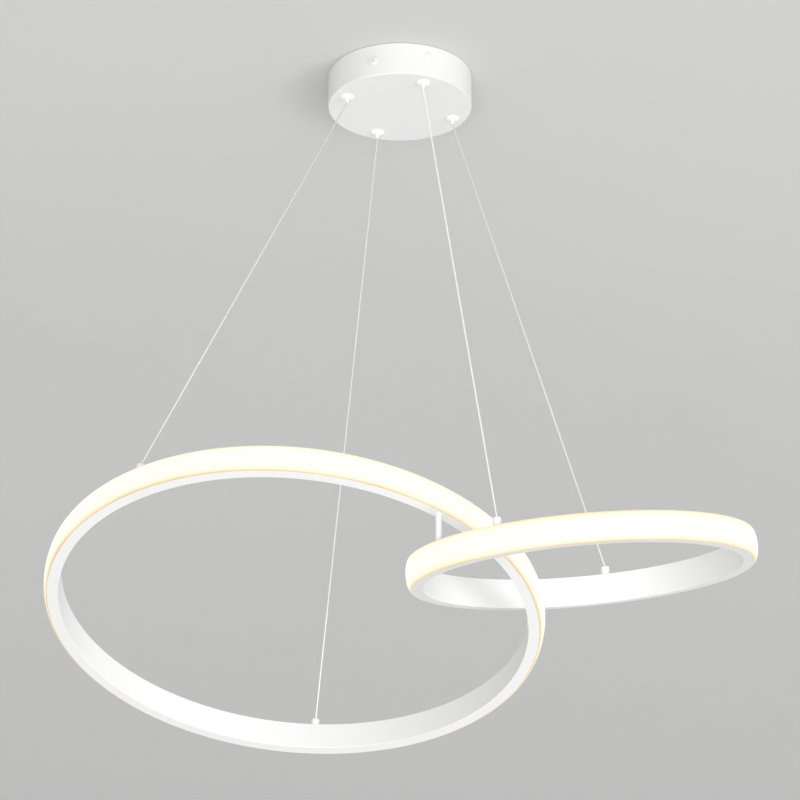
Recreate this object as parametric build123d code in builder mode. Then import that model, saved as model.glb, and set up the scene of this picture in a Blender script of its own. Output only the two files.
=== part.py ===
from build123d import *
from math import atan2, cos, degrees, pi, radians, sin, sqrt
import os

os.makedirs("parts", exist_ok=True)

# LED pendant light: two light rings, tilted opposite ways and linked where they cross, hang on taut
# wires from a round ceiling canopy. Millimetres. The origin is the canopy's centre on the ceiling,
# Z is up and X runs along the row of the two rings.

# Canopy cup
canopy_radius = 76.0
canopy_height = 36.0
canopy_wall = 1.2
canopy_edge_round = 1.0

# Ceiling bracket
bracket_width = 24.0
bracket_thickness = 2.0
bracket_bend = 3.0
bracket_gap = 0.3
ear_height = 26.0
slot_spacing = 112.0
slot_length = 16.0
slot_width = 5.2
supply_hole_radius = 6.0
supply_hole_place = 38.0

# Screws through the cup's side into the bracket, and the earth screw on one ear
side_screw_radius = 2.0
side_screw_drop = 18.5
side_screw_head_radius = 4.7
side_screw_head_height = 2.2
side_screw_tip = 1.5
side_seat_depth = 0.4
earth_screw_drop = 8.5
earth_head_radius = 3.5
earth_head_height = 2.4
earth_washer_radius = 4.4
earth_washer_thickness = 0.8

# Gear shelf across the cup, its lock screws and the screws that carry the gear under it
shelf_width = 38.0
shelf_thickness = 1.2
shelf_drop = 6.0
shelf_neck_width = 16.0
shelf_neck_start = 62.0
shelf_ear_height = 11.0
lock_screw_radius = 1.5
lock_screw_drop = 11.2
lock_head_radius = 3.6
lock_head_height = 1.7
lock_socket_radius = 1.25
lock_seat_depth = 0.3
gear_screw_radius = 1.5
gear_screw_head_radius = 2.8
gear_screw_head_height = 1.8
gear_screw_grip = 2.6
seat_margin = 0.7

# LED driver and terminal block
driver_length = 66.0
driver_width = 34.0
driver_base_thickness = 3.0
driver_cover_depth = 17.0
driver_wall = 1.2
driver_edge_round = 1.5
driver_screw_spacing = 48.0
board_margin = 1.8
board_thickness = 1.6
board_rib_height = 3.0
board_rib_width = 2.0
block_length = 22.0
block_width = 24.0
block_height = 13.0
block_pole_pitch = 7.5
block_wire_hole_radius = 1.8
block_screw_radius = 1.5
block_screw_length = 4.0
block_screw_offset = 6.0
gear_spacing = 10.0

# Leads inside the canopy and the rings
mains_lead_radius = 1.2
link_lead_radius = 0.8
lead_bend = 6.9
lead_grip = 3.0
lead_drop = 3.0
output_reach = 14.5
link_lead_bend = 5.0
lead_swing = 30.0

# Cable grips in the canopy's floor
grip_edge_distance = 15.2
grip_flange_radius = 7.1
grip_flange_depth = 2.2
grip_flange_edge = 0.8
grip_crown_radius = 3.6
grip_shank_radius = 4.0
grip_shank_height = 14.0
grip_chamber_radius = 3.0
grip_lip_height = 2.0
grip_nut_width = 13.0
grip_nut_height = 4.0
grip_cap_plug = 1.5
grip_cap_rim = 1.0
plunger_wall = 0.6
plunger_reach = 5.2
plunger_head_radius = 2.8
plunger_head_height = 1.5
plunger_mouth = 0.4
spring_wire_radius = 0.25
spring_coil_radius = 2.3
spring_turns = 5

# Suspension wires and power cord
wire_radius = 0.75
cord_radius = 0.8
cable_bend = 4.0

# Light rings
ring_level = -589.0
ring_tilt = 13.0
large_ring_x = -116.3
large_inner_radius = 241.0
small_ring_x = 195.7
small_inner_radius = 161.0
channel_width = 11.2
channel_height = 30.0
channel_wall = 1.5
channel_round = 0.5
diffuser_bulge = 4.8
diffuser_wall = 1.4
diffuser_gap = 0.15
leg_depth = 2.4
leg_thickness = 1.2
barb_height = 0.35
strip_height = 10.0
strip_thickness = 0.6
chip_height = 3.5
chip_width = 2.8
chip_thickness = 0.8
large_chip_count = 60
small_chip_count = 40
connector_length = 16.0
connector_depth = 5.0
connector_height = 8.0

# Fittings on the rings
fitting_line = 5.2
ferrule_radius = 4.3
ferrule_height = 8.5
ferrule_round = 1.2
ferrule_mouth = 0.6
ferrule_shank_radius = 2.4
ferrule_shank_reach = 3.6
ferrule_nut_width = 6.4
ferrule_nut_height = 2.0
stop_radius = 2.2
stop_length = 3.0
post_radius = 3.1
post_spigot_radius = 2.2
post_spigot_reach = 7.0
post_bore_radius = 1.2
collar_radius = 2.9
collar_length = 4.0
link_connector_angle = 10.0

# Clearances
thread_clearance = 0.05
hole_clearance = 0.1
running_clearance = 0.05
cable_clearance = 0.4

# Places that follow from the sizes
canopy_inner_radius = canopy_radius - canopy_wall
ear_face = sqrt((canopy_inner_radius - bracket_gap) ** 2 - (bracket_width / 2) ** 2)
shelf_face = sqrt((canopy_inner_radius - bracket_gap) ** 2 - (shelf_neck_width / 2) ** 2)
shelf_under = -(shelf_drop + shelf_thickness)
lead_level = shelf_under - driver_base_thickness - lead_drop
grip_pitch_radius = canopy_radius - grip_edge_distance
driver_end = grip_pitch_radius - output_reach
driver_middle = driver_end - driver_length / 2
block_middle = driver_end - driver_length - gear_spacing - block_length / 2
half_height = channel_height / 2
tilt_sine = sin(radians(ring_tilt))
tilt_cosine = cos(radians(ring_tilt))
large_fitting_radius = large_inner_radius + fitting_line
small_fitting_radius = small_inner_radius + fitting_line

gear_plane = Plane(origin=(0, 0, 0), x_dir=(1, -1, 0), z_dir=(0, 0, 1))
large_ring = Plane(origin=(large_ring_x, 0, ring_level), x_dir=(1, 0, 0), z_dir=(0, tilt_sine, tilt_cosine))
small_ring = Plane(origin=(small_ring_x, 0, ring_level), x_dir=(1, 0, 0), z_dir=(0, -tilt_sine, tilt_cosine))

# Each hanging cable: name, grip's angle on the canopy, ring, inner radius, ferrule's angle, cable radius
cables = [
    ("left", 225, large_ring, large_inner_radius, -107.2, wire_radius),
    ("far", 135, large_ring, large_inner_radius, 107.2, wire_radius),
    ("feed", 315, small_ring, small_inner_radius, -100.0, cord_radius),
    ("right", 45, small_ring, small_inner_radius, 100.0, wire_radius),
]


def save(builder, name):
    builder.part.label = name
    export_step(builder.part, f"parts/{name}.step")


def side_of(plane):
    # The upright plane through a plane's z axis: x outwards, y along that axis
    return Plane(origin=plane.origin, x_dir=plane.x_dir, z_dir=-plane.y_dir)


def axis_of(plane):
    return Axis(plane.origin, plane.z_dir)


def place(plane, x, y, z):
    return plane.from_local_coords(Vector(x, y, z))


def on_ring(ring, angle, radius, height):
    # A plane at a place on a ring: x points outwards, y along the ring and z along its axis
    turn = radians(angle)
    out = ring.x_dir * cos(turn) + ring.y_dir * sin(turn)
    spot = place(ring, radius * cos(turn), radius * sin(turn), height)
    return Plane(origin=spot, x_dir=out, z_dir=ring.z_dir)


def face_level(ring, height, x, y):
    # The level at which an upright line through x, y meets a ring's plane at a height
    middle = ring.origin + ring.z_dir * height
    slope = (x - middle.X) * ring.z_dir.X + (y - middle.Y) * ring.z_dir.Y
    return middle.Z - slope / ring.z_dir.Z


def turned(plane, outline):
    # A turned piece from an outline of radii and heights about a plane's z axis
    with BuildPart() as piece:
        with BuildSketch(side_of(plane)):
            with BuildLine():
                Polyline(*outline, close=True)
            make_face()
        revolve(axis=axis_of(plane))
    return piece.part


def hex_nut(plane, width, height, bore_radius):
    with BuildPart() as nut:
        with BuildSketch(plane):
            RegularPolygon(width / 2, 6, major_radius=False, rotation=30)
            Circle(bore_radius, mode=Mode.SUBTRACT)
        extrude(amount=height)
    return nut.part


def pan_screw(plane, shank_radius, shank_length, head_radius, head_height):
    # The plane lies on the seat, and its z axis points out of the head
    slot_length_on_head = head_radius * 1.2
    slot_width_on_head = head_radius * 0.26
    with BuildPart() as screw:
        with BuildSketch(plane):
            Circle(head_radius)
        extrude(amount=head_height)
        head_top = screw.faces().sort_by(axis_of(plane))[-1]
        fillet(head_top.edges(), radius=head_height * 0.6)
        with BuildSketch(plane.offset(head_height)):
            Rectangle(slot_length_on_head, slot_width_on_head)
            Rectangle(slot_width_on_head, slot_length_on_head)
        extrude(amount=-head_height * 0.5, mode=Mode.SUBTRACT)
        with BuildSketch(plane):
            Circle(shank_radius)
        extrude(amount=-shank_length)
    return screw.part


def tube(points, radii, tube_radius, name):
    # A round tube along straight runs joined by tangent arcs
    with BuildPart() as piece:
        with BuildLine() as route:
            FilletPolyline(*points, radius=radii)
        start = route.wire() @ 0
        along = route.wire() % 0
        with BuildSketch(Plane(origin=start, z_dir=along)):
            Circle(tube_radius)
        sweep(path=route.wire())
    length = route.wire().length
    share = piece.part.volume / (pi * tube_radius**2 * length)
    print(name, "length", round(length, 1), "bends", radii, "volume share", round(share, 4))
    return piece.part


def group(pieces):
    with BuildPart() as together:
        for piece in pieces:
            add(piece)
    return together


# Canopy
side_seat = canopy_radius - side_seat_depth
lock_seat = canopy_radius - lock_seat_depth
side_screw_planes = [
    Plane(origin=(0, side * side_seat, -side_screw_drop), x_dir=(1, 0, 0), z_dir=(0, side, 0))
    for side in (-1, 1)
]
lock_screw_planes = [
    Plane(origin=place(gear_plane, side * lock_seat, 0, -lock_screw_drop), z_dir=gear_plane.x_dir * side)
    for side in (-1, 1)
]

with BuildPart() as canopy_cup:
    with BuildSketch(Plane.XZ):
        with BuildLine():
            Polyline(
                (0, -canopy_height),
                (canopy_radius, -canopy_height),
                (canopy_radius, 0),
                (canopy_inner_radius, 0),
                (canopy_inner_radius, canopy_wall - canopy_height),
                (0, canopy_wall - canopy_height),
                close=True,
            )
        make_face()
    revolve(axis=Axis.Z)
    fillet(canopy_cup.edges().filter_by(GeomType.CIRCLE).group_by(Axis.Z)[0], radius=canopy_edge_round)
    with BuildSketch(Plane.XY.offset(-canopy_height)):
        with PolarLocations(grip_pitch_radius, len(cables), start_angle=45):
            Circle(grip_shank_radius + hole_clearance)
    extrude(amount=canopy_wall, mode=Mode.SUBTRACT)
    for seat in side_screw_planes:
        with BuildSketch(seat):
            Circle(side_screw_head_radius + seat_margin)
        extrude(amount=canopy_wall, mode=Mode.SUBTRACT)
        with BuildSketch(seat):
            Circle(side_screw_radius + hole_clearance)
        extrude(amount=-2 * canopy_wall, mode=Mode.SUBTRACT)
    for seat in lock_screw_planes:
        with BuildSketch(seat):
            Circle(lock_head_radius + seat_margin)
        extrude(amount=canopy_wall, mode=Mode.SUBTRACT)
        with BuildSketch(seat):
            Circle(lock_screw_radius + hole_clearance)
        extrude(amount=-2 * canopy_wall, mode=Mode.SUBTRACT)
save(canopy_cup, "canopy_cup")

# Ceiling bracket: a strap against the ceiling with an ear bent down at each end
with BuildPart() as ceiling_bracket:
    with BuildSketch(Plane.XY):
        Rectangle(bracket_width, 2 * ear_face)
    extrude(amount=-bracket_thickness)
    for side in (-1, 1):
        with BuildSketch(Plane(origin=(0, side * ear_face, 0), x_dir=(1, 0, 0), z_dir=(0, side, 0))):
            with Locations((0, side * ear_height / 2)):
                Rectangle(bracket_width, ear_height)
        extrude(amount=-bracket_thickness)
    bend_edges = ceiling_bracket.edges().filter_by(Axis.X).group_by(Axis.Z)[-1]
    fillet(bend_edges, radius=bracket_bend)
    with BuildSketch(Plane.XY):
        with Locations((0, -slot_spacing / 2), (0, slot_spacing / 2)):
            SlotOverall(slot_length, slot_width, rotation=90)
        with Locations((0, supply_hole_place)):
            Circle(supply_hole_radius)
    extrude(amount=-bracket_thickness, mode=Mode.SUBTRACT)
    for seat in side_screw_planes:
        with BuildSketch(seat):
            Circle(side_screw_radius + thread_clearance)
        extrude(amount=-(side_seat - ear_face + 2 * bracket_thickness), mode=Mode.SUBTRACT)
    with BuildSketch(Plane(origin=(0, ear_face, -earth_screw_drop), z_dir=(0, 1, 0))):
        Circle(side_screw_radius + thread_clearance)
    extrude(amount=-2 * bracket_thickness, mode=Mode.SUBTRACT)
save(ceiling_bracket, "ceiling_bracket")

side_screw_length = side_seat - ear_face + bracket_thickness + side_screw_tip
canopy_screws = group(
    [
        pan_screw(seat, side_screw_radius, side_screw_length, side_screw_head_radius, side_screw_head_height)
        for seat in side_screw_planes
    ]
)
save(canopy_screws, "canopy_screws")

earth_face = ear_face - bracket_thickness
washer_plane = Plane(origin=(0, earth_face, -earth_screw_drop), x_dir=(1, 0, 0), z_dir=(0, -1, 0))
with BuildPart() as earth_washer:
    with BuildSketch(washer_plane):
        Circle(earth_washer_radius)
        Circle(side_screw_radius + hole_clearance, mode=Mode.SUBTRACT)
    extrude(amount=earth_washer_thickness)
save(earth_washer, "earth_washer")

earth_screw = group(
    [
        pan_screw(
            washer_plane.offset(earth_washer_thickness),
            side_screw_radius,
            earth_washer_thickness + bracket_thickness,
            earth_head_radius,
            earth_head_height,
        )
    ]
)
save(earth_screw, "earth_screw")

# Gear shelf: a strip across the cup with an ear at each end
shelf_top = gear_plane.offset(-shelf_drop)
driver_screw_places = [driver_middle - driver_screw_spacing / 2, driver_middle + driver_screw_spacing / 2]
gear_screw_places = driver_screw_places + [block_middle]

with BuildPart() as gear_shelf:
    with BuildSketch(shelf_top):
        Rectangle(2 * shelf_neck_start, shelf_width)
        Rectangle(2 * shelf_face, shelf_neck_width)
    extrude(amount=-shelf_thickness)
    for seat in lock_screw_planes:
        ear_top = seat.origin + seat.z_dir * (shelf_face - lock_seat)
        ear_top += Vector(0, 0, lock_screw_drop - shelf_drop)
        ear_plane = Plane(origin=ear_top, x_dir=(0, 0, -1), z_dir=seat.z_dir)
        with BuildSketch(ear_plane):
            with Locations((shelf_ear_height / 2, 0)):
                Rectangle(shelf_ear_height, shelf_neck_width)
        extrude(amount=-shelf_thickness)
        with BuildSketch(seat):
            Circle(lock_screw_radius + thread_clearance)
        extrude(amount=-(lock_seat - shelf_face + 2 * shelf_thickness), mode=Mode.SUBTRACT)
    with BuildSketch(shelf_top):
        with Locations(*[(x, 0) for x in gear_screw_places]):
            Circle(gear_screw_radius + hole_clearance)
    extrude(amount=-shelf_thickness, mode=Mode.SUBTRACT)
save(gear_shelf, "gear_shelf")


def lock_screw(seat):
    # Button head with a hexagon socket
    with BuildPart() as screw:
        with BuildSketch(seat):
            Circle(lock_head_radius)
        extrude(amount=lock_head_height)
        fillet(screw.faces().sort_by(axis_of(seat))[-1].edges(), radius=lock_head_height * 0.7)
        with BuildSketch(seat.offset(lock_head_height)):
            RegularPolygon(lock_socket_radius, 6)
        extrude(amount=-lock_head_height * 0.6, mode=Mode.SUBTRACT)
        with BuildSketch(seat):
            Circle(lock_screw_radius)
        extrude(amount=-(lock_seat - shelf_face + shelf_thickness + side_screw_tip))
    return screw.part


lock_screws = group([lock_screw(seat) for seat in lock_screw_planes])
save(lock_screws, "shelf_lock_screws")

gear_screws = group(
    [
        pan_screw(
            Plane(origin=place(shelf_top, x, 0, 0), x_dir=gear_plane.x_dir, z_dir=(0, 0, 1)),
            gear_screw_radius,
            shelf_thickness + gear_screw_grip,
            gear_screw_head_radius,
            gear_screw_head_height,
        )
        for x in gear_screw_places
    ]
)
save(gear_screws, "gear_screws")

# LED driver under the shelf
driver_top = gear_plane.offset(shelf_under)
driver_joint = gear_plane.offset(shelf_under - driver_base_thickness)
pole_places = (-block_pole_pitch, 0, block_pole_pitch)
lead_end = place(gear_plane, driver_end, 0, lead_level)
lead_end_plane = Plane(origin=lead_end, x_dir=gear_plane.y_dir, z_dir=gear_plane.x_dir)

with BuildPart() as driver_base:
    with BuildSketch(driver_top):
        with Locations((driver_middle, 0)):
            RectangleRounded(driver_length, driver_width, driver_edge_round)
        with Locations(*[(x, 0) for x in driver_screw_places]):
            Circle(gear_screw_radius + thread_clearance, mode=Mode.SUBTRACT)
    extrude(amount=-driver_base_thickness)
save(driver_base, "driver_base")

with BuildPart() as driver_cover:
    with BuildSketch(driver_joint):
        with Locations((driver_middle, 0)):
            RectangleRounded(driver_length, driver_width, driver_edge_round)
    extrude(amount=-driver_cover_depth)
    fillet(driver_cover.faces().sort_by(Axis.Z)[0].edges(), radius=driver_edge_round / 2)
    with BuildSketch(driver_joint):
        with Locations((driver_middle, 0)):
            Rectangle(driver_length - 2 * driver_wall, driver_width - 2 * driver_wall)
    extrude(amount=-(driver_cover_depth - driver_wall), mode=Mode.SUBTRACT)
    with BuildSketch(driver_joint.offset(driver_wall - driver_cover_depth)):
        with Locations((driver_middle, -driver_width / 4), (driver_middle, driver_width / 4)):
            Rectangle(driver_length - 2 * driver_wall, board_rib_width)
    extrude(amount=board_rib_height)
    with BuildSketch(lead_end_plane):
        Circle(cord_radius + cable_clearance)
    extrude(amount=-2 * driver_wall, mode=Mode.SUBTRACT)
    with BuildSketch(lead_end_plane.offset(-driver_length)):
        with Locations((pole_places[0], 0), (pole_places[-1], 0)):
            Circle(mains_lead_radius + cable_clearance)
    extrude(amount=2 * driver_wall, mode=Mode.SUBTRACT)
save(driver_cover, "driver_cover")

# Circuit board with its transformer, capacitor and coil, on the cover's ribs
board_plane = driver_joint.offset(driver_wall - driver_cover_depth + board_rib_height)
board_length = driver_length - 2 * (driver_wall + board_margin)
board_width = driver_width - 2 * (driver_wall + board_margin)
part_room = driver_cover_depth - driver_wall - board_rib_height - board_thickness
with BuildPart() as driver_board:
    with BuildSketch(board_plane):
        with Locations((driver_middle, 0)):
            Rectangle(board_length, board_width)
    extrude(amount=board_thickness)
    with BuildSketch(board_plane.offset(board_thickness)):
        with Locations((driver_middle, 0)):
            Rectangle(board_length * 0.3, board_width * 0.6)
        with Locations((driver_middle - board_length * 0.32, 0)):
            Circle(board_width * 0.18)
    extrude(amount=part_room * 0.7)
    with BuildSketch(board_plane.offset(board_thickness)):
        with Locations((driver_middle + board_length * 0.33, 0)):
            Circle(board_width * 0.2)
    extrude(amount=part_room * 0.35)
save(driver_board, "driver_board")

# Terminal block under the shelf, with a clamp screw at each end of each pole
block_screw_places = [
    (block_middle + side * block_screw_offset, pole) for side in (-1, 1) for pole in pole_places
]
block_under = driver_top.offset(-block_height)
with BuildPart() as terminal_block:
    with BuildSketch(driver_top):
        with Locations((block_middle, 0)):
            RectangleRounded(block_length, block_width, driver_edge_round)
    extrude(amount=-block_height)
    with BuildSketch(lead_end_plane.offset(block_middle - block_length / 2 - driver_end)):
        with Locations(*[(pole, 0) for pole in pole_places]):
            Circle(block_wire_hole_radius)
    extrude(amount=block_length, mode=Mode.SUBTRACT)
    with BuildSketch(block_under):
        with Locations(*block_screw_places):
            Circle(block_screw_radius + hole_clearance)
    extrude(amount=lead_level - shelf_under + block_height, mode=Mode.SUBTRACT)
    with BuildSketch(driver_top):
        with Locations((block_middle, 0)):
            Circle(gear_screw_radius + thread_clearance)
    extrude(amount=-gear_screw_grip - hole_clearance, mode=Mode.SUBTRACT)
save(terminal_block, "terminal_block")

with BuildPart() as terminal_screws:
    with BuildSketch(block_under):
        with Locations(*block_screw_places):
            Circle(block_screw_radius)
    extrude(amount=block_screw_length)
    with BuildSketch(block_under):
        with Locations(*block_screw_places):
            Rectangle(2 * block_screw_radius, block_screw_radius * 0.4)
    extrude(amount=block_screw_length * 0.25, mode=Mode.SUBTRACT)
save(terminal_screws, "terminal_screws")

# Leads in the canopy
mains_lead_start = driver_end - driver_length + driver_wall + lead_grip
mains_lead_length = driver_wall + 2 * lead_grip + gear_spacing
with BuildPart() as mains_leads:
    with BuildSketch(lead_end_plane.offset(mains_lead_start - driver_end)):
        with Locations((pole_places[0], 0), (pole_places[-1], 0)):
            Circle(mains_lead_radius)
    extrude(amount=-mains_lead_length)
save(mains_leads, "mains_leads")

# Cable grips: each body stands in the canopy's floor and holds a sprung release plunger
canopy_floor = -canopy_height
grip_top = grip_shank_height + grip_cap_rim
spring_room_low = grip_lip_height + plunger_head_height
spring_room_high = grip_shank_height - grip_cap_plug
spring_low = spring_room_low + spring_wire_radius + running_clearance
spring_rise = spring_room_high - spring_wire_radius - running_clearance - spring_low


def grip_plane(angle):
    turn = radians(angle)
    origin = (grip_pitch_radius * cos(turn), grip_pitch_radius * sin(turn), canopy_floor)
    return Plane(origin=origin, x_dir=(cos(turn), sin(turn), 0), z_dir=(0, 0, 1))


def grip_body(plane, stem_radius):
    bore = stem_radius + running_clearance
    crown_middle = (grip_crown_radius + grip_flange_radius) / 2
    crown_depth = grip_flange_edge + (grip_flange_depth - grip_flange_edge) * 0.75
    with BuildPart() as body:
        with BuildSketch(side_of(plane)):
            with BuildLine():
                Line((bore, -grip_flange_depth), (grip_crown_radius, -grip_flange_depth))
                ThreePointArc(
                    (grip_crown_radius, -grip_flange_depth),
                    (crown_middle, -crown_depth),
                    (grip_flange_radius, -grip_flange_edge),
                )
                Polyline(
                    (grip_flange_radius, -grip_flange_edge),
                    (grip_flange_radius, 0),
                    (grip_shank_radius, 0),
                    (grip_shank_radius, grip_shank_height),
                    (grip_chamber_radius, grip_shank_height),
                    (grip_chamber_radius, grip_lip_height),
                    (bore, grip_lip_height),
                    (bore, -grip_flange_depth),
                )
            make_face()
        revolve(axis=axis_of(plane))
    return body


def plunger(plane, bore, stem_radius):
    tip = -grip_flange_depth - plunger_reach
    outline = [
        (bore + plunger_mouth, tip),
        (stem_radius, tip),
        (stem_radius, grip_lip_height),
        (plunger_head_radius, grip_lip_height),
        (plunger_head_radius, spring_room_low),
        (bore, spring_room_low),
        (bore, tip + plunger_mouth),
    ]
    return group([turned(plane, outline)])


def plunger_spring(plane):
    pitch = spring_rise / spring_turns
    with BuildPart() as spring:
        with BuildLine() as coil:
            Helix(pitch, spring_rise, spring_coil_radius, center=place(plane, 0, 0, spring_low))
        start = coil.wire() @ 0
        with BuildSketch(Plane(origin=start, z_dir=coil.wire() % 0)):
            Circle(spring_wire_radius)
        sweep(path=coil.wire(), is_frenet=True)
    return spring


def grip_cap(plane, bore):
    outline = [
        (bore, spring_room_high),
        (grip_chamber_radius - hole_clearance, spring_room_high),
        (grip_chamber_radius - hole_clearance, grip_shank_height),
        (grip_shank_radius, grip_shank_height),
        (grip_shank_radius, grip_top),
        (bore, grip_top),
    ]
    return turned(plane, outline)


grip_nuts = []
grip_caps = []
for name, grip_angle, ring, inner_radius, ferrule_angle, cable_radius in cables:
    base = grip_plane(grip_angle)
    bore = cable_radius + cable_clearance
    stem_radius = bore + plunger_wall
    save(grip_body(base, stem_radius), f"grip_body_{name}")
    save(plunger(base, bore, stem_radius), f"plunger_{name}")
    save(plunger_spring(base), f"plunger_spring_{name}")
    nut_bore = grip_shank_radius + thread_clearance
    grip_nuts.append(hex_nut(base.offset(canopy_wall), grip_nut_width, grip_nut_height, nut_bore))
    grip_caps.append(grip_cap(base, bore))
save(group(grip_nuts), "grip_nuts")
save(group(grip_caps), "grip_caps")

# Hanging cables: straight down through the grip, taut to the ferrule, then in along the ferrule's axis
ferrule_end = channel_wall + ferrule_shank_reach
for name, grip_angle, ring, inner_radius, ferrule_angle, cable_radius in cables:
    base = grip_plane(grip_angle)
    seat = on_ring(ring, ferrule_angle, inner_radius + fitting_line, half_height)
    points = [
        place(base, 0, 0, grip_top),
        place(base, 0, 0, -grip_flange_depth - plunger_reach),
        place(seat, 0, 0, ferrule_height),
        place(seat, 0, 0, -ferrule_end),
    ]
    node = "power_cord" if name == "feed" else f"suspension_wire_{name}"
    save(group([tube(points, [cable_bend, cable_bend], cable_radius, node)]), node)

feed_grip = grip_plane(cables[2][1])
output_points = [
    place(feed_grip, 0, 0, grip_top),
    place(feed_grip, 0, 0, lead_level - canopy_floor),
    place(gear_plane, driver_end - driver_wall - lead_grip, 0, lead_level),
]
output_lead = group([tube(output_points, [lead_bend], cord_radius, "output_lead")])
save(output_lead, "output_lead")

# Ferrules on the rings' top faces, with their nuts and the crimped stops of the wires
ferrule_nuts = []
wire_stops = []
for name, grip_angle, ring, inner_radius, ferrule_angle, cable_radius in cables:
    seat = on_ring(ring, ferrule_angle, inner_radius + fitting_line, half_height)
    bore = cable_radius + cable_clearance
    with BuildPart() as ferrule:
        with BuildSketch(side_of(seat)):
            with BuildLine():
                Polyline(
                    (bore, -ferrule_end),
                    (ferrule_shank_radius, -ferrule_end),
                    (ferrule_shank_radius, 0),
                    (ferrule_radius, 0),
                    (ferrule_radius, ferrule_height - ferrule_round),
                )
                RadiusArc(
                    (ferrule_radius, ferrule_height - ferrule_round),
                    (ferrule_radius - ferrule_round, ferrule_height),
                    -ferrule_round,
                )
                Polyline(
                    (ferrule_radius - ferrule_round, ferrule_height),
                    (bore + ferrule_mouth, ferrule_height),
                    (bore, ferrule_height - ferrule_mouth),
                    (bore, -ferrule_end),
                )
            make_face()
        revolve(axis=axis_of(seat))
    save(ferrule, f"ferrule_{name}")
    nut_plane = seat.offset(-channel_wall - ferrule_nut_height)
    nut_bore = ferrule_shank_radius + thread_clearance
    ferrule_nuts.append(hex_nut(nut_plane, ferrule_nut_width, ferrule_nut_height, nut_bore))
    if name != "feed":
        stop_outline = [(0, -ferrule_end - stop_length), (stop_radius, -ferrule_end - stop_length)]
        wire_stops.append(turned(seat, stop_outline + [(stop_radius, -ferrule_end), (0, -ferrule_end)]))
save(group(ferrule_nuts), "ferrule_nuts")
save(group(wire_stops), "wire_stops")

# Link posts stand where the two channels cross: the near one under the large ring, the far one on it
ring_distance = small_ring_x - large_ring_x
cross_along = (ring_distance**2 + large_fitting_radius**2 - small_fitting_radius**2) / (2 * ring_distance)
cross_out = sqrt(large_fitting_radius**2 - cross_along**2)
post_x = large_ring_x + cross_along
post_y = cross_out * tilt_cosine + half_height * tilt_sine
posts = {
    "near": (-post_y, large_ring, small_ring),
    "far": (post_y, small_ring, large_ring),
}
post_angle_large = degrees(atan2(-cross_out, cross_along))
post_angle_small = degrees(atan2(-cross_out, cross_along - ring_distance))

post_collars = []
for name, (y, upper, lower) in posts.items():
    high = face_level(upper, -half_height, post_x, y)
    low = face_level(lower, half_height, post_x, y)
    with BuildPart() as post:
        with BuildSketch(Plane(origin=(post_x, y, low - post_radius))):
            Circle(post_radius)
        extrude(amount=high - low + 2 * post_radius)
        split(bisect_by=upper.offset(-half_height), keep=Keep.BOTTOM)
        split(bisect_by=lower.offset(half_height), keep=Keep.TOP)
        with BuildSketch(Plane(origin=(post_x, y, low - post_spigot_reach))):
            Circle(post_spigot_radius)
        extrude(amount=high - low + 2 * post_spigot_reach)
        with BuildSketch(Plane(origin=(post_x, y, low - post_spigot_reach))):
            Circle(post_bore_radius)
        extrude(amount=high - low + 2 * post_spigot_reach, mode=Mode.SUBTRACT)
    save(post, f"link_post_{name}")
    for ring, level, side in ((upper, high, 1), (lower, low, -1)):
        seat_height = side * (channel_wall - half_height)
        seat_level = face_level(ring, seat_height, post_x, y)
        with BuildPart() as collar:
            with BuildSketch(Plane(origin=(post_x, y, seat_level - collar_radius))):
                Circle(collar_radius)
                Circle(post_spigot_radius + thread_clearance, mode=Mode.SUBTRACT)
            extrude(amount=2 * collar_radius if side < 0 else collar_radius + collar_length)
            if side < 0:
                with BuildSketch(Plane(origin=(post_x, y, seat_level - collar_length))):
                    Circle(collar_radius)
                    Circle(post_spigot_radius + thread_clearance, mode=Mode.SUBTRACT)
                extrude(amount=collar_length)
            split(bisect_by=ring.offset(seat_height), keep=Keep.TOP if side > 0 else Keep.BOTTOM)
        post_collars.append(collar.part)
save(group(post_collars), "post_collars")


# Light rings
def ring_channel(ring, inner_radius, ferrule_angles, post_sides):
    # A profile open outwards, with a groove inside each flange for the diffuser's barbs
    mouth = inner_radius + channel_width
    inside = half_height - channel_wall
    groove_far = mouth - leg_depth
    groove_near = mouth - leg_depth / 2 + hole_clearance
    groove = inside + barb_height + hole_clearance
    upper_half = [
        (mouth, half_height),
        (mouth, inside),
        (groove_near, inside),
        (groove_near, groove),
        (groove_far, groove),
        (groove_far, inside),
        (inner_radius + channel_wall, inside),
    ]
    lower_half = [(r, -z) for r, z in reversed(upper_half)]
    with BuildPart() as channel:
        with BuildSketch(side_of(ring)) as profile:
            with BuildLine():
                Polyline(
                    (inner_radius, half_height),
                    *upper_half,
                    *lower_half,
                    (inner_radius, -half_height),
                    close=True,
                )
            make_face()
            fillet(profile.vertices().group_by(Axis.X)[0], radius=channel_round)
        revolve(axis=axis_of(ring))
        for angle in ferrule_angles:
            with BuildSketch(on_ring(ring, angle, inner_radius + fitting_line, half_height)):
                Circle(ferrule_shank_radius + hole_clearance)
            extrude(amount=-2 * channel_wall, mode=Mode.SUBTRACT)
        for y, side in post_sides:
            level = face_level(ring, side * half_height, post_x, y)
            with BuildSketch(Plane(origin=(post_x, y, level))):
                Circle(post_spigot_radius + hole_clearance)
            extrude(amount=3 * channel_wall, both=True, mode=Mode.SUBTRACT)
    return channel


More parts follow.
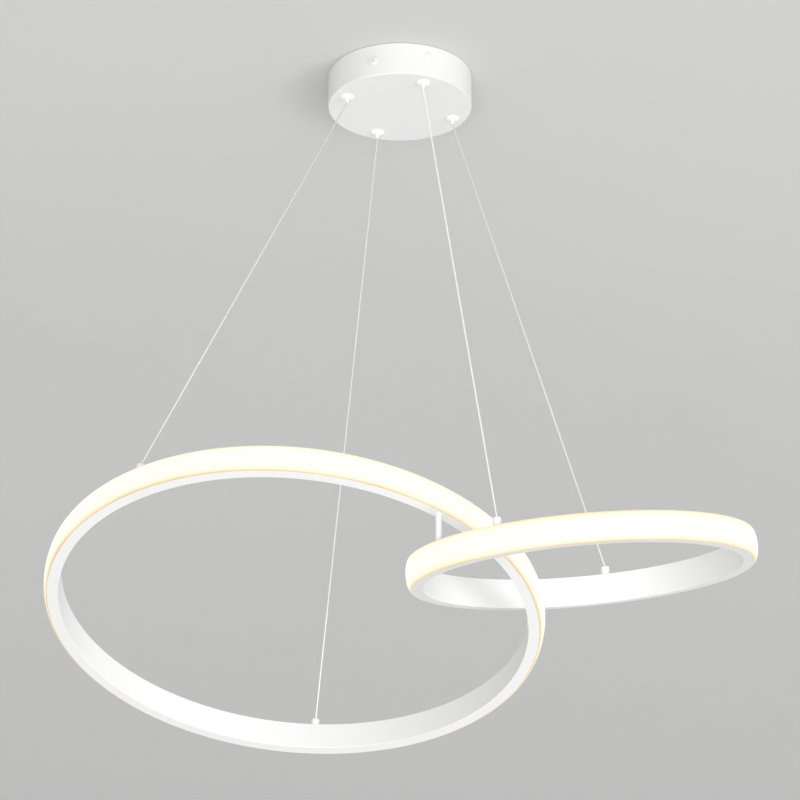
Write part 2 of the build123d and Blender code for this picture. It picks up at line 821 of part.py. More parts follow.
def ring_diffuser(ring, inner_radius):
    # A domed strip over the channel's mouth, held by two barbed legs
    base = inner_radius + channel_width + diffuser_gap
    bulge = diffuser_bulge - diffuser_gap
    leg_top = half_height - channel_wall - hole_clearance
    leg_low = leg_top - leg_thickness
    leg_end = inner_radius + channel_width - leg_depth
    barb_peak = (leg_end + base) / 2 - barb_height
    upper_leg = [
        (base, half_height),
        (base, leg_top),
        (barb_peak + barb_height, leg_top),
        (barb_peak, leg_top + barb_height),
        (leg_end + hole_clearance, leg_top),
        (leg_end + hole_clearance, leg_low),
        (base, leg_low),
    ]
    with BuildPart() as diffuser:
        with BuildSketch(side_of(ring)):
            with BuildLine():
                EllipticalCenterArc((base, 0), bulge, half_height, start_angle=-90, arc_size=180)
                Polyline(*upper_leg)
                EllipticalCenterArc((base, 0), bulge - diffuser_wall, leg_low, start_angle=-90, arc_size=180)
                Polyline(*[(r, -z) for r, z in upper_leg])
            make_face()
        revolve(axis=axis_of(ring))
    return diffuser


def led_strip(ring, inner_radius):
    wall = inner_radius + channel_wall
    half = strip_height / 2
    outline = [(wall, -half), (wall + strip_thickness, -half), (wall + strip_thickness, half), (wall, half)]
    return group([turned(ring, outline)])


def led_chips(ring, inner_radius, count, first_angle):
    face = inner_radius + channel_wall + strip_thickness
    with BuildPart() as chips:
        for index in range(count):
            angle = first_angle + (index + 0.5) * 360 / count
            chip_plane = on_ring(ring, angle, face, 0)
            with BuildSketch(Plane(origin=chip_plane.origin, x_dir=chip_plane.y_dir, z_dir=chip_plane.x_dir)):
                Rectangle(chip_width, chip_height)
            extrude(amount=chip_thickness)
    return chips


def strip_connector(ring, inner_radius, angle, lead_radius):
    # A block on the strip with a hole along it for the leads
    seat = on_ring(ring, angle, inner_radius + channel_wall + strip_thickness, 0)
    with BuildPart() as connector:
        with BuildSketch(Plane(origin=seat.origin, x_dir=seat.y_dir, z_dir=seat.x_dir)):
            Rectangle(connector_length, connector_height)
        extrude(amount=connector_depth)
        hole_start = place(seat, connector_depth / 2, -connector_length / 2, 0)
        with BuildSketch(Plane(origin=hole_start, x_dir=seat.x_dir, z_dir=seat.y_dir)):
            Circle(lead_radius + cable_clearance)
        extrude(amount=connector_length, mode=Mode.SUBTRACT)
    return connector


feed_angle = cables[2][4]
large_ferrules = [cable[4] for cable in cables if cable[2] is large_ring]
small_ferrules = [cable[4] for cable in cables if cable[2] is small_ring]
small_connector_angle = (feed_angle + post_angle_small) / 2
large_connector_angle = post_angle_large + link_connector_angle

large_posts = [(-post_y, -1), (post_y, 1)]
small_posts = [(-post_y, 1), (post_y, -1)]
save(ring_channel(large_ring, large_inner_radius, large_ferrules, large_posts), "large_ring_channel")
save(ring_channel(small_ring, small_inner_radius, small_ferrules, small_posts), "small_ring_channel")
save(ring_diffuser(large_ring, large_inner_radius), "large_ring_diffuser")
save(ring_diffuser(small_ring, small_inner_radius), "small_ring_diffuser")
save(led_strip(large_ring, large_inner_radius), "large_led_strip")
save(led_strip(small_ring, small_inner_radius), "small_led_strip")
save(led_chips(large_ring, large_inner_radius, large_chip_count, large_connector_angle), "large_led_chips")
save(led_chips(small_ring, small_inner_radius, small_chip_count, small_connector_angle), "small_led_chips")
large_connector = strip_connector(large_ring, large_inner_radius, large_connector_angle, link_lead_radius)
save(large_connector, "large_strip_connector")
small_connector = strip_connector(small_ring, small_inner_radius, small_connector_angle, cord_radius)
save(small_connector, "small_strip_connector")

# Leads in the rings: from the cord to the small strip, and from there up the near post to the large strip
lead_out = connector_depth / 2
lead_in = connector_length / 2 - lead_grip
lead_run = connector_length
strip_depth = channel_wall + strip_thickness
large_seat = on_ring(large_ring, large_connector_angle, large_inner_radius + strip_depth, 0)
small_seat = on_ring(small_ring, small_connector_angle, small_inner_radius + strip_depth, 0)
feed_seat = on_ring(small_ring, feed_angle, small_fitting_radius, half_height)

feed_points = [
    place(feed_seat, 0, 0, -ferrule_end),
    place(feed_seat, 0, 0, -half_height),
    place(small_seat, lead_out, lead_run, 0),
    place(small_seat, lead_out, lead_in, 0),
]
feed_lead = group([tube(feed_points, [lead_bend, lead_swing], cord_radius, "feed_lead")])
save(feed_lead, "feed_lead")

link_points = [
    place(small_seat, lead_out, -lead_in, 0),
    place(small_seat, lead_out, -lead_run, 0),
    Vector(post_x, -post_y, face_level(small_ring, 0, post_x, -post_y)),
    Vector(post_x, -post_y, face_level(large_ring, 0, post_x, -post_y)),
    place(large_seat, lead_out, -lead_run, 0),
    place(large_seat, lead_out, -lead_in, 0),
]
link_radii = [lead_swing, link_lead_bend, link_lead_bend, lead_swing]
link_lead = group([tube(link_points, link_radii, link_lead_radius, "link_lead")])
save(link_lead, "link_lead")
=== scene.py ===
from math import pi, radians

import bmesh
import bpy
from mathutils import Matrix, Vector


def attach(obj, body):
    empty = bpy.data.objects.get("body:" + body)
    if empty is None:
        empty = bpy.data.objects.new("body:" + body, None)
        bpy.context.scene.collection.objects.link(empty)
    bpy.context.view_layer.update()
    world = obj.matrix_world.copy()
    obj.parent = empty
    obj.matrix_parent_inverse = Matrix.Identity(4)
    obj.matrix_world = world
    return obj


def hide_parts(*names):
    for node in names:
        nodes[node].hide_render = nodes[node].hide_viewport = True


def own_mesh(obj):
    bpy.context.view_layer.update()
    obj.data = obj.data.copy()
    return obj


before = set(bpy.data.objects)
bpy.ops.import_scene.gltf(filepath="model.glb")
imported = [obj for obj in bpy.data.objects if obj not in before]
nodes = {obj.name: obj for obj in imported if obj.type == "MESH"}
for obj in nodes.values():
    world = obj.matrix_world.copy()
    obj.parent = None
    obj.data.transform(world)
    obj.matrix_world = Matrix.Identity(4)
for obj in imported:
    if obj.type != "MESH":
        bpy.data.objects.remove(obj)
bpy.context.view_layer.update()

# Rings, in metres and degrees. Z is up and the ceiling is at 0.
RING_LEVEL = -0.589
RINGS = {
    "large": {"x": -0.1163, "tilt": -13.0},
    "small": {"x": 0.1957, "tilt": 13.0},
}
SECTION_HALF_HEIGHT = 0.015
MERGE_DISTANCE = 0.000001

# Cables: each route goes from the top of its grip's cap through the plunger's mouth and the ferrule's mouth
# to the end of the ferrule's shank
WIRE_RADIUS = 0.00075
CORD_RADIUS = 0.0008
GRIP_PLACE = 0.04299
CAP_TOP = -0.021
PLUNGER_MOUTH = -0.0434
CABLES = {
    "left": [
        (-GRIP_PLACE, -GRIP_PLACE, CAP_TOP),
        (-GRIP_PLACE, -GRIP_PLACE, PLUNGER_MOUTH),
        (-0.18910, -0.22388, -0.51320),
        (-0.18910, -0.22693, -0.52645),
    ],
    "far": [
        (-GRIP_PLACE, GRIP_PLACE, CAP_TOP),
        (-GRIP_PLACE, GRIP_PLACE, PLUNGER_MOUTH),
        (-0.18910, 0.23445, -0.61901),
        (-0.18910, 0.23139, -0.63226),
    ],
    "feed": [
        (GRIP_PLACE, -GRIP_PLACE, CAP_TOP),
        (GRIP_PLACE, -GRIP_PLACE, PLUNGER_MOUTH),
        (0.16684, -0.16477, -0.60292),
        (0.16684, -0.16171, -0.61617),
    ],
    "right": [
        (GRIP_PLACE, GRIP_PLACE, CAP_TOP),
        (GRIP_PLACE, GRIP_PLACE, PLUNGER_MOUTH),
        (0.16684, 0.15419, -0.52928),
        (0.16684, 0.15725, -0.54253),
    ],
}

# Each route also has a point this many diameters from either mouth, which keeps the long run straight, and
# one at this share of the shank
MOUTH_EASE = 6.0
SHANK_SHARE = 0.35

# Relief of the finishes, the wires' strands, the strip's copper pads and the driver board's face
PAINT_DEPTH = 0.0002
FINE_DEPTH = 0.0001
STRAND_DEPTH = 0.00008
STRAND_COUNT = 6.0
STRAND_LAY = 0.0016
PAD_STEPS = 40.0
PAD_SHARE = 0.07
PAD_EDGE = 0.0028
BOARD_FACE = -0.0211

# Most values of a noise lie in this range
NOISE_RANGE = (0.3, 0.7)

# Light of an opal strip, from its middle line to its two joints
GLOW = [
    (0.0, (0.90, 0.89, 0.80, 1.0)),
    (0.40, (0.90, 0.885, 0.795, 1.0)),
    (0.66, (0.89, 0.865, 0.73, 1.0)),
    (0.86, (0.87, 0.815, 0.60, 1.0)),
    (0.955, (0.82, 0.67, 0.40, 1.0)),
    (1.0, (0.70, 0.45, 0.21, 1.0)),
]

# Stage: the ceiling lies a hair above the canopy's rim and is open inside it, the floor is far below, and the
# lamps are turned to a point between the canopy and the rings
CEILING_LEVEL = 0.0006
CEILING_HOLE = 0.073
CEILING_SPREAD = 140.0
FLOOR_LEVEL = -8.0
FLOOR_HALF = 9.0
LAMP_AIM = (0.0, 0.0, -0.4)

# Camera: well below the canopy and to its right, looking up through a long lens
camera_data = bpy.data.cameras.new("camera")
camera_data.sensor_width = 36.0
camera_data.lens = 232.32
camera_data.clip_end = 100.0
camera = bpy.data.objects.new("camera", camera_data)
camera.location = (1.7777, -4.4948, -2.6162)
camera.rotation_euler = (radians(114.8519), 0.0, radians(21.5782))
bpy.context.collection.objects.link(camera)
bpy.context.scene.camera = camera
bpy.context.scene.view_settings.view_transform = "Standard"


# Node helpers: a plain number or colour is set on the socket, anything else is linked to it
def feed(tree, socket, value):
    if isinstance(value, (int, float, tuple)):
        socket.default_value = value
    else:
        tree.links.new(value, socket)


def noise(tree, place, scale, detail=2.0):
    node = tree.nodes.new("ShaderNodeTexNoise")
    feed(tree, node.inputs["Vector"], place)
    feed(tree, node.inputs["Scale"], scale)
    node.inputs["Detail"].default_value = detail
    return node.outputs["Fac"]


def cells(tree, place, scale, output):
    node = tree.nodes.new("ShaderNodeTexVoronoi")
    feed(tree, node.inputs["Vector"], place)
    feed(tree, node.inputs["Scale"], scale)
    return node.outputs[output]


def span(tree, value, target, source=(0.0, 1.0)):
    # Carries a value from the source range to the target range and holds it at the ends
    node = tree.nodes.new("ShaderNodeMapRange")
    feed(tree, node.inputs["Value"], value)
    feed(tree, node.inputs["From Min"], source[0])
    feed(tree, node.inputs["From Max"], source[1])
    feed(tree, node.inputs["To Min"], target[0])
    feed(tree, node.inputs["To Max"], target[1])
    return node.outputs["Result"]


def maths(tree, operation, first, second=0.0):
    node = tree.nodes.new("ShaderNodeMath")
    node.operation = operation
    feed(tree, node.inputs[0], first)
    feed(tree, node.inputs[1], second)
    return node.outputs["Value"]


def plus(tree, first, second):
    return maths(tree, "ADD", first, second)


def times(tree, first, second):
    return maths(tree, "MULTIPLY", first, second)


def blend_colour(tree, factor, first, second, kind="MIX"):
    node = tree.nodes.new("ShaderNodeMix")
    node.data_type = "RGBA"
    node.blend_type = kind
    feed(tree, node.inputs[0], factor)
    feed(tree, node.inputs[6], first)
    feed(tree, node.inputs[7], second)
    return node.outputs[2]


def shaded(tree, colour, shade):
    return blend_colour(tree, 1.0, colour, shade, "MULTIPLY")


def ramp(tree, value, stops):
    node = tree.nodes.new("ShaderNodeValToRGB")
    elements = node.color_ramp.elements
    for place, _ in stops[1:-1]:
        elements.new(place)
    for element, (place, colour) in zip(elements, stops):
        element.position = place
        element.color = colour
    feed(tree, node.inputs["Fac"], value)
    return node.outputs["Color"]


def stretched(tree, place, scale):
    node = tree.nodes.new("ShaderNodeMapping")
    feed(tree, node.inputs["Vector"], place)
    node.inputs["Scale"].default_value = scale
    return node.outputs["Vector"]


def object_place(tree):
    return tree.nodes.new("ShaderNodeTexCoord").outputs["Object"]


def own_place(tree, origin, turn):
    # The place as read in a frame with its own origin and turn
    node = tree.nodes.new("ShaderNodeMapping")
    node.vector_type = "TEXTURE"
    node.inputs["Location"].default_value = origin
    node.inputs["Rotation"].default_value = turn
    feed(tree, node.inputs["Vector"], object_place(tree))
    return node.outputs["Vector"]


def ring_place(tree, ring):
    # A ring's own frame: its axis is Z and its centre is 0
    return own_place(tree, (ring["x"], 0.0, RING_LEVEL), (radians(ring["tilt"]), 0.0, 0.0))


def split(tree, place):
    node = tree.nodes.new("ShaderNodeSeparateXYZ")
    feed(tree, node.inputs["Vector"], place)
    return node.outputs


def make_group(name, inputs, outputs):
    group = bpy.data.node_groups.new(name, "ShaderNodeTree")
    for socket, kind in inputs:
        group.interface.new_socket(socket, in_out="INPUT", socket_type="NodeSocket" + kind)
    for socket, kind in outputs:
        group.interface.new_socket(socket, in_out="OUTPUT", socket_type="NodeSocket" + kind)
    given = group.nodes.new("NodeGroupInput").outputs
    made = group.nodes.new("NodeGroupOutput").inputs
    return group, given, made


def place_group(tree, group, **values):
    node = tree.nodes.new("ShaderNodeGroup")
    node.node_tree = group
    for name, value in values.items():
        feed(tree, node.inputs[name], value)
    return node.outputs


# Shared skins, each a group that several finishes use with their own values. Scales of grain are per metre.
def paint_skin_group():
    # Fine orange peel of sprayed or powder paint, faint cloudiness and an uneven sheen
    group, given, made = make_group(
        "paint_skin",
        [
            ("Place", "Vector"),
            ("Colour", "Color"),
            ("Grain", "Float"),
            ("Sheen_low", "Float"),
            ("Sheen_high", "Float"),
        ],
        [("Colour", "Color"), ("Roughness", "Float"), ("Height", "Float")],
    )
    peel = noise(group, given["Place"], given["Grain"], detail=3.0)
    cloud = noise(group, given["Place"], 9.0, detail=4.0)
    specks = span(group, noise(group, given["Place"], 420.0, detail=1.0), (0.0, 1.0), source=(0.66, 0.80))
    shade = span(group, cloud, (0.975, 1.0), source=NOISE_RANGE)
    dimmed = maths(group, "SUBTRACT", shade, times(group, specks, 0.02))
    sheen = span(group, peel, (given["Sheen_low"], given["Sheen_high"]), source=(0.25, 0.75))
    feed(group, made["Colour"], shaded(group, given["Colour"], dimmed))
    feed(group, made["Roughness"], sheen)
    feed(group, made["Height"], plus(group, peel, times(group, cloud, 0.4)))
    return group


def rolled_lines_group():
    # Faint drawn lines that run round a rolled section
    group, given, made = make_group(
        "rolled_lines", [("Place", "Vector")], [("Height", "Float"), ("Shade", "Float")]
    )
    axes = split(group, given["Place"])
    squares = plus(group, times(group, axes["X"], axes["X"]), times(group, axes["Y"], axes["Y"]))
    across = group.nodes.new("ShaderNodeCombineXYZ")
    feed(group, across.inputs["X"], axes["Z"])
    feed(group, across.inputs["Y"], maths(group, "SQRT", squares))
    fine = noise(group, across.outputs["Vector"], 1500.0)
    wide = noise(group, across.outputs["Vector"], 260.0, detail=1.0)
    feed(group, made["Height"], plus(group, times(group, fine, 0.5), wide))
    feed(group, made["Shade"], span(group, wide, (0.985, 1.0), source=NOISE_RANGE))
    return group


def metal_grain_group():
    # Zinc or brass with crystals of plating, fine scratches and dull patches
    group, given, made = make_group(
        "metal_grain",
        [("Place", "Vector"), ("Colour", "Color"), ("Dull", "Color"), ("Crystal", "Float")],
        [("Colour", "Color"), ("Roughness", "Float"), ("Height", "Float")],
    )
    grey = group.nodes.new("ShaderNodeRGBToBW")
    feed(group, grey.inputs["Color"], cells(group, given["Place"], given["Crystal"], "Color"))
    crystal = span(group, grey.outputs["Val"], (0.0, 0.35))
    scratch = noise(group, stretched(group, given["Place"], (2200.0, 140.0, 900.0)), 1.0)
    patch = span(group, noise(group, given["Place"], 90.0, detail=4.0), (0.0, 1.0), source=(0.45, 0.7))
    plating = blend_colour(group, crystal, given["Colour"], given["Dull"])
    wear = plus(group, scratch, times(group, patch, 0.6))
    feed(group, made["Colour"], blend_colour(group, times(group, patch, 0.5), plating, given["Dull"]))
    feed(group, made["Roughness"], span(group, wear, (0.22, 0.52), source=(0.2, 1.2)))
    feed(group, made["Height"], scratch)
    return group


def moulded_grain_group():
    # The fine matt texture of moulded plastic, with flow shade
    group, given, made = make_group(
        "moulded_grain",
        [("Place", "Vector"), ("Colour", "Color"), ("Shade", "Color"), ("Grain", "Float")],
        [("Colour", "Color"), ("Roughness", "Float"), ("Height", "Float")],
    )
    pits = cells(group, given["Place"], given["Grain"], "Distance")
    flow = span(group, noise(group, given["Place"], 35.0, detail=3.0), (0.0, 0.5), source=(0.35, 0.7))
    feed(group, made["Colour"], blend_colour(group, flow, given["Colour"], given["Shade"]))
    feed(group, made["Roughness"], span(group, pits, (0.42, 0.58)))
    feed(group, made["Height"], pits)
    return group


paint_skin = paint_skin_group()
rolled_lines = rolled_lines_group()
metal_grain = metal_grain_group()
moulded_grain = moulded_grain_group()


# Finishes
def new_material(name):
    material = bpy.data.materials.new(name)
    material.use_nodes = True
    tree = material.node_tree
    return material, tree, tree.nodes["Principled BSDF"]


def raise_surface(tree, shader, height, strength, depth):
    bump = tree.nodes.new("ShaderNodeBump")
    bump.inputs["Strength"].default_value = strength
    bump.inputs["Distance"].default_value = depth
    feed(tree, bump.inputs["Height"], height)
    feed(tree, shader.inputs["Normal"], bump.outputs["Normal"])


def lay_skin(tree, shader, skin, strength, depth):
    feed(tree, shader.inputs["Base Color"], skin["Colour"])
    feed(tree, shader.inputs["Roughness"], skin["Roughness"])
    raise_surface(tree, shader, skin["Height"], strength, depth)


def painted(name, colour, sheen, grain=1100.0, bump=0.10):
    material, tree, shader = new_material(name)
    own = object_place(tree)
    skin = place_group(
        tree, paint_skin, Place=own, Colour=colour, Grain=grain, Sheen_low=sheen[0], Sheen_high=sheen[1]
    )
    lay_skin(tree, shader, skin, bump, PAINT_DEPTH)
    return material


def rolled_paint(name, colour, sheen, ring):
    # Satin paint on a rolled section, with the section's drawn lines faintly showing through
    material, tree, shader = new_material(name)
    own = ring_place(tree, ring)
    skin = place_group(
        tree, paint_skin, Place=own, Colour=colour, Grain=1300.0, Sheen_low=sheen[0], Sheen_high=sheen[1]
    )
    lines = place_group(tree, rolled_lines, Place=own)
    relief = plus(tree, times(tree, skin["Height"], 0.5), lines["Height"])
    feed(tree, shader.inputs["Base Color"], shaded(tree, skin["Colour"], lines["Shade"]))
    feed(tree, shader.inputs["Roughness"], skin["Roughness"])
    raise_surface(tree, shader, relief, 0.035, PAINT_DEPTH)
    return material


def plated(name, colour, dull, crystal):
    material, tree, shader = new_material(name)
    own = object_place(tree)
    skin = place_group(tree, metal_grain, Place=own, Colour=colour, Dull=dull, Crystal=crystal)
    lay_skin(tree, shader, skin, 0.12, FINE_DEPTH)
    shader.inputs["Metallic"].default_value = 1.0
    return material


def moulded(name, colour, shade, grain=1600.0):
    material, tree, shader = new_material(name)
    own = object_place(tree)
    skin = place_group(tree, moulded_grain, Place=own, Colour=colour, Shade=shade, Grain=grain)
    lay_skin(tree, shader, skin, 0.15, FINE_DEPTH)
    return material


def opal_glow(name, ring):
    # Opal strip lit from behind: even and nearly white over its middle, warmer and dimmer into the two joints
    material, tree, shader = new_material(name)
    own = ring_place(tree, ring)
    height = maths(tree, "ABSOLUTE", split(tree, own)["Z"])
    edge = maths(tree, "DIVIDE", height, SECTION_HALF_HEIGHT)
    drift = span(tree, noise(tree, own, 14.0), (-0.02, 0.02), source=NOISE_RANGE)
    grain = noise(tree, own, 1800.0)
    feed(tree, shader.inputs["Emission Color"], ramp(tree, plus(tree, edge, drift), GLOW))
    shader.inputs["Emission Strength"].default_value = 1.0
    shader.inputs["Base Color"].default_value = (0.13, 0.128, 0.12, 1.0)
    feed(tree, shader.inputs["Roughness"], span(tree, grain, (0.34, 0.46), source=NOISE_RANGE))
    raise_surface(tree, shader, grain, 0.05, FINE_DEPTH)
    return material


def strip_tape(name, ring):
    # White flexible tape with copper pads at the cut marks
    material, tree, shader = new_material(name)
    own = ring_place(tree, ring)
    axes = split(tree, own)
    turn = maths(tree, "DIVIDE", maths(tree, "ARCTAN2", axes["Y"], axes["X"]), 2 * pi)
    step = maths(tree, "FRACT", times(tree, turn, PAD_STEPS))
    at_mark = maths(tree, "LESS_THAN", step, PAD_SHARE)
    at_edge = maths(tree, "GREATER_THAN", maths(tree, "ABSOLUTE", axes["Z"]), PAD_EDGE)
    pads = times(tree, at_mark, at_edge)
    white = (0.86, 0.86, 0.84, 1.0)
    shade = (0.78, 0.78, 0.75, 1.0)
    copper = (0.72, 0.42, 0.22, 1.0)
    skin = place_group(tree, moulded_grain, Place=own, Colour=white, Shade=shade, Grain=1400.0)
    feed(tree, shader.inputs["Base Color"], blend_colour(tree, pads, skin["Colour"], copper))
    feed(tree, shader.inputs["Roughness"], skin["Roughness"])
    return material


def lit_chips(name):
    # Yellow phosphor of the lit chips
    material, tree, shader = new_material(name)
    body = noise(tree, object_place(tree), 900.0)
    phosphor = ramp(tree, body, [(0.3, (0.90, 0.72, 0.22, 1.0)), (0.7, (0.95, 0.82, 0.36, 1.0))])
    feed(tree, shader.inputs["Base Color"], phosphor)
    feed(tree, shader.inputs["Emission Color"], phosphor)
    shader.inputs["Emission Strength"].default_value = 2.0
    feed(tree, shader.inputs["Roughness"], span(tree, body, (0.3, 0.45)))
    return material


def circuit_board(name):
    # Green resist with copper tracks under it, and dark parts above the board's face
    material, tree, shader = new_material(name)
    own = object_place(tree)
    tracks = cells(tree, stretched(tree, own, (260.0, 260.0, 1.0)), 1.0, "Distance")
    on_track = maths(tree, "LESS_THAN", tracks, 0.18)
    resist = blend_colour(tree, on_track, (0.03, 0.17, 0.07, 1.0), (0.10, 0.34, 0.14, 1.0))
    kinds = noise(tree, own, 60.0, detail=1.0)
    parts = ramp(tree, kinds, [(0.4, (0.05, 0.05, 0.05, 1.0)), (0.6, (0.55, 0.40, 0.10, 1.0))])
    above = maths(tree, "GREATER_THAN", split(tree, own)["Z"], BOARD_FACE)
    feed(tree, shader.inputs["Base Color"], blend_colour(tree, above, resist, parts))
    feed(tree, shader.inputs["Roughness"], span(tree, noise(tree, own, 700.0), (0.3, 0.5)))
    return material


def sheath(name, colour, other=None, mottle=160.0, shade=0.93, grain=2600.0, sheen=(0.40, 0.55), bump=0.08):
    # Soft extruded sheath, faintly mottled. Of a pair of leads, the one past the gear's middle line has the
    # other colour.
    material, tree, shader = new_material(name)
    own = object_place(tree)
    tone = colour
    if other:
        axes = split(tree, own)
        past_middle = maths(tree, "GREATER_THAN", plus(tree, axes["X"], axes["Y"]), 0.0)
        tone = blend_colour(tree, past_middle, colour, other)
    mottled = span(tree, noise(tree, own, mottle, detail=3.0), (shade, 1.0), source=NOISE_RANGE)
    fine = noise(tree, own, grain)
    feed(tree, shader.inputs["Base Color"], shaded(tree, tone, mottled))
    feed(tree, shader.inputs["Roughness"], span(tree, fine, sheen, source=NOISE_RANGE))
    raise_surface(tree, shader, fine, bump, FINE_DEPTH)
    return material


def twisted_wire(name, top, bottom):
    # Fine strands twisted round the straight run from top to bottom, with painted light from the rings: the
    # colour is paler towards the lower end
    material, tree, shader = new_material(name)
    run = Vector(bottom) - Vector(top)
    axes = split(tree, own_place(tree, top, run.to_track_quat("Z", "Y").to_euler()))
    turn = times(tree, maths(tree, "ARCTAN2", axes["Y"], axes["X"]), STRAND_COUNT)
    lay = times(tree, axes["Z"], 2 * pi / STRAND_LAY)
    strand = span(tree, maths(tree, "SINE", plus(tree, turn, lay)), (0.0, 1.0), source=(-1.0, 1.0))
    # Painted shade: the grooves between the strands, where the relief is low, are painted darker
    tone = ramp(tree, strand, [(0.0, (0.52, 0.52, 0.52, 1.0)), (0.4, (0.76, 0.76, 0.76, 1.0))])
    # Painted light from the rings: the colour grows paler down the run, from 0.86 to 1.22 times
    painted_ring_light = span(tree, axes["Z"], (0.86, 1.22), source=(0.0, run.length))
    feed(tree, shader.inputs["Base Color"], shaded(tree, tone, painted_ring_light))
    feed(tree, shader.inputs["Roughness"], span(tree, strand, (0.5, 0.34)))
    raise_surface(tree, shader, strand, 0.15, STRAND_DEPTH)
    return material


def cover(mesh, material):
    mesh.materials.clear()
    mesh.materials.append(material)


def new_piece(name, mesh, material):
    mesh.name = name
    mesh.polygons.foreach_set("use_smooth", [True] * len(mesh.polygons))
    cover(mesh, material)
    piece = bpy.data.objects.new(name, mesh)
    bpy.context.collection.objects.link(piece)
    return piece


# Hanging cables
def cable_curve(name, points, radius):
    curve = bpy.data.curves.new(name, "CURVE")
    curve.dimensions = "3D"
    curve.resolution_u = 16
    curve.bevel_depth = radius
    curve.bevel_resolution = 3
    curve.use_fill_caps = True
    spline = curve.splines.new("NURBS")
    spline.points.add(len(points) - 1)
    for point, place in zip(spline.points, points):
        point.co = (*place, 1.0)
    spline.order_u = 3
    spline.use_endpoint_u = True
    return curve


def as_mesh(name, curve):
    holder = bpy.data.objects.new(name + "_route", curve)
    bpy.context.collection.objects.link(holder)
    bpy.context.view_layer.update()
    mesh = bpy.data.meshes.new_from_object(holder.evaluated_get(bpy.context.evaluated_depsgraph_get()))
    bpy.data.objects.remove(holder)
    return mesh


def hang_cable(name, route, radius, material, node):
    top, mouth, ferrule, end = (Vector(point) for point in route)
    ease = MOUTH_EASE * 2 * radius
    down = (ferrule - mouth).normalized()
    points = [
        top,
        mouth + Vector((0, 0, ease)),
        mouth,
        mouth + down * ease,
        ferrule - down * ease,
        ferrule,
        ferrule.lerp(end, SHANK_SHARE),
        end,
    ]
    line = as_mesh(name, cable_curve(name, points, 0.0))
    cable = new_piece(name, as_mesh(name, cable_curve(name, points, radius)), material)
    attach(cable, "canopy")
    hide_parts(node)
    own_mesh(cable)


for side in ("left", "far", "right"):
    strands = twisted_wire("twisted_wire_" + side, CABLES[side][1], CABLES[side][2])
    hang_cable(
        "hanging_wire_" + side, CABLES[side], WIRE_RADIUS, strands, "suspension_wire_" + side
    )
cord_sheath = sheath(
    "cord_sheath",
    (0.94, 0.94, 0.93, 1.0),
    mottle=240.0,
    shade=0.95,
    grain=3000.0,
    sheen=(0.38, 0.50),
    bump=0.06,
)
hang_cable("hanging_cord", CABLES["feed"], CORD_RADIUS, cord_sheath, "power_cord")


# Finishes of the carried-over pieces
def finish(material, *names):
    for name in names:
        cover(nodes[name].data, material)


canopy_paint = painted("canopy_paint", (0.815, 0.815, 0.81, 1.0), (0.46, 0.58), grain=900.0, bump=0.12)
screw_paint = painted("screw_paint", (0.83, 0.83, 0.825, 1.0), (0.34, 0.44))
fitting_paint = painted("fitting_paint", (0.93, 0.93, 0.925, 1.0), (0.36, 0.48), grain=1500.0, bump=0.05)
zinc_plate = plated("zinc_plate", (0.66, 0.67, 0.69, 1.0), (0.50, 0.51, 0.53, 1.0), crystal=260.0)
bare_brass = plated("bare_brass", (0.78, 0.60, 0.28, 1.0), (0.52, 0.38, 0.18, 1.0), crystal=700.0)
driver_case = moulded("driver_case", (0.86, 0.86, 0.85, 1.0), (0.80, 0.80, 0.79, 1.0))
nylon = moulded("nylon", (0.84, 0.83, 0.78, 1.0), (0.74, 0.72, 0.66, 1.0), grain=900.0)
mains_sheath = sheath("mains_sheath", (0.20, 0.09, 0.04, 1.0), other=(0.05, 0.16, 0.42, 1.0))
lead_sheath = sheath("lead_sheath", (0.88, 0.88, 0.87, 1.0))
ring_white = (0.87, 0.87, 0.865, 1.0)

finish(canopy_paint, "canopy_cup")
finish(screw_paint, "canopy_screws", "shelf_lock_screws")
finish(bare_brass, "earth_screw", "earth_washer", "terminal_screws")
finish(zinc_plate, "ceiling_bracket", "gear_shelf", "gear_screws", "grip_nuts", "grip_caps")
finish(zinc_plate, "ferrule_nuts", "wire_stops", "post_collars")
finish(driver_case, "driver_base", "driver_cover")
finish(circuit_board("circuit_board"), "driver_board")
finish(nylon, "terminal_block", "large_strip_connector", "small_strip_connector")
finish(mains_sheath, "mains_leads")
finish(lead_sheath, "output_lead", "feed_lead", "link_lead")
finish(lit_chips("lit_chips"), "large_led_chips", "small_led_chips")
finish(fitting_paint, "link_post_near", "link_post_far")
for side in CABLES:
    finish(fitting_paint, "grip_body_" + side, "plunger_" + side, "ferrule_" + side)
for size, ring in RINGS.items():
    finish(rolled_paint(size + "_channel_paint", ring_white, (0.28, 0.38), ring), size + "_ring_channel")
    finish(opal_glow(size + "_opal_glow", ring), size + "_ring_diffuser")
    finish(strip_tape(size + "_strip_tape", ring), size + "_led_strip")


def release_spring(side):
    # The grip's own coil, made a piece of its own
    node = "plunger_spring_" + side
    coil = bmesh.new()
    coil.from_mesh(nodes[node].data)
    bmesh.ops.remove_doubles(coil, verts=coil.verts[:], dist=MERGE_DISTANCE)
    mesh = bpy.data.meshes.new("release_spring_" + side)
    coil.to_mesh(mesh)
    coil.free()
    spring = new_piece("release_spring_" + side, mesh, zinc_plate)
    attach(spring, "canopy")
    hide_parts(node)
    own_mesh(spring)


for side in CABLES:
    release_spring(side)


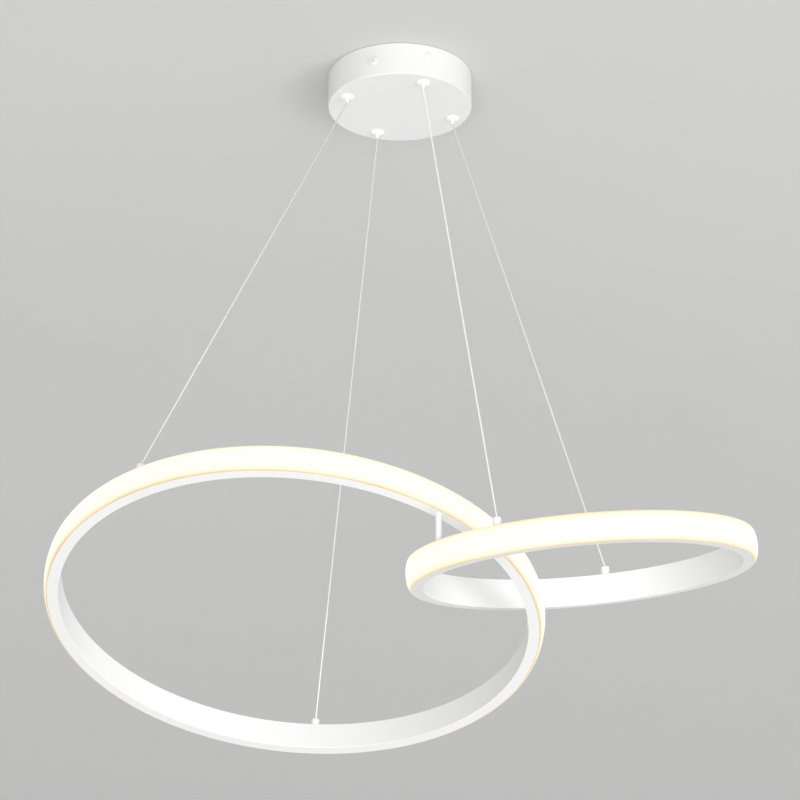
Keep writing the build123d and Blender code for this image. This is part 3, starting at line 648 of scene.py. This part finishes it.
# Stage: a plain ceiling and a pale floor, each seen only from the room's side
def room_plane(name, sheet, colour):
    mesh = bpy.data.meshes.new(name)
    sheet.to_mesh(mesh)
    sheet.free()
    plane = bpy.data.objects.new(name, mesh)
    bpy.context.collection.objects.link(plane)
    material, tree, shader = new_material(name + "_finish")
    shader.inputs["Base Color"].default_value = colour
    shader.inputs["Roughness"].default_value = 0.9
    shader.inputs["Specular IOR Level"].default_value = 0.0
    clear = tree.nodes.new("ShaderNodeBsdfTransparent")
    geometry = tree.nodes.new("ShaderNodeNewGeometry")
    one_sided = tree.nodes.new("ShaderNodeMixShader")
    feed(tree, one_sided.inputs["Fac"], geometry.outputs["Backfacing"])
    feed(tree, one_sided.inputs[1], shader.outputs["BSDF"])
    feed(tree, one_sided.inputs[2], clear.outputs["BSDF"])
    feed(tree, tree.nodes["Material Output"].inputs["Surface"], one_sided.outputs["Shader"])
    mesh.materials.append(material)


ceiling = bmesh.new()
rim = Matrix.Translation((0, 0, CEILING_LEVEL))
bmesh.ops.create_circle(ceiling, cap_ends=False, segments=96, radius=CEILING_HOLE, matrix=rim)
spread = bmesh.ops.extrude_edge_only(ceiling, edges=ceiling.edges[:])
outer = [part for part in spread["geom"] if isinstance(part, bmesh.types.BMVert)]
bmesh.ops.scale(ceiling, vec=(CEILING_SPREAD, CEILING_SPREAD, 1.0), verts=outer)
bmesh.ops.recalc_face_normals(ceiling, faces=ceiling.faces[:])
ceiling.normal_update()
if ceiling.faces[:][0].normal.z > 0:
    bmesh.ops.reverse_faces(ceiling, faces=ceiling.faces[:])
room_plane("ceiling", ceiling, (0.612, 0.612, 0.612, 1.0))

floor = bmesh.new()
ground = Matrix.Translation((0, 0, FLOOR_LEVEL))
bmesh.ops.create_grid(floor, x_segments=1, y_segments=1, size=FLOOR_HALF, matrix=ground)
room_plane("floor", floor, (0.80, 0.80, 0.79, 1.0))


def soft_lamp(name, place, size, power):
    data = bpy.data.lights.new(name, "AREA")
    data.shape = "DISK"
    data.size = size
    data.energy = power
    lamp = bpy.data.objects.new(name, data)
    lamp.location = place
    lamp.rotation_euler = (Vector(LAMP_AIM) - Vector(place)).to_track_quat("-Z", "Y").to_euler()
    lamp.visible_camera = False
    bpy.context.collection.objects.link(lamp)


soft_lamp("key_lamp", (4.8, -4.3, -4.4), size=8.0, power=240.0)
soft_lamp("side_lamp", (5.88, -1.91, -3.69), size=2.4, power=93.0)
soft_lamp("front_lamp", (1.26, -5.93, -3.9), size=3.0, power=132.0)

# Even light of the room
world = bpy.data.worlds.new("room_light")
world.use_nodes = True
world.node_tree.nodes["Background"].inputs["Color"].default_value = (1.0, 1.0, 1.0, 1.0)
world.node_tree.nodes["Background"].inputs["Strength"].default_value = 0.70
bpy.context.scene.world = world
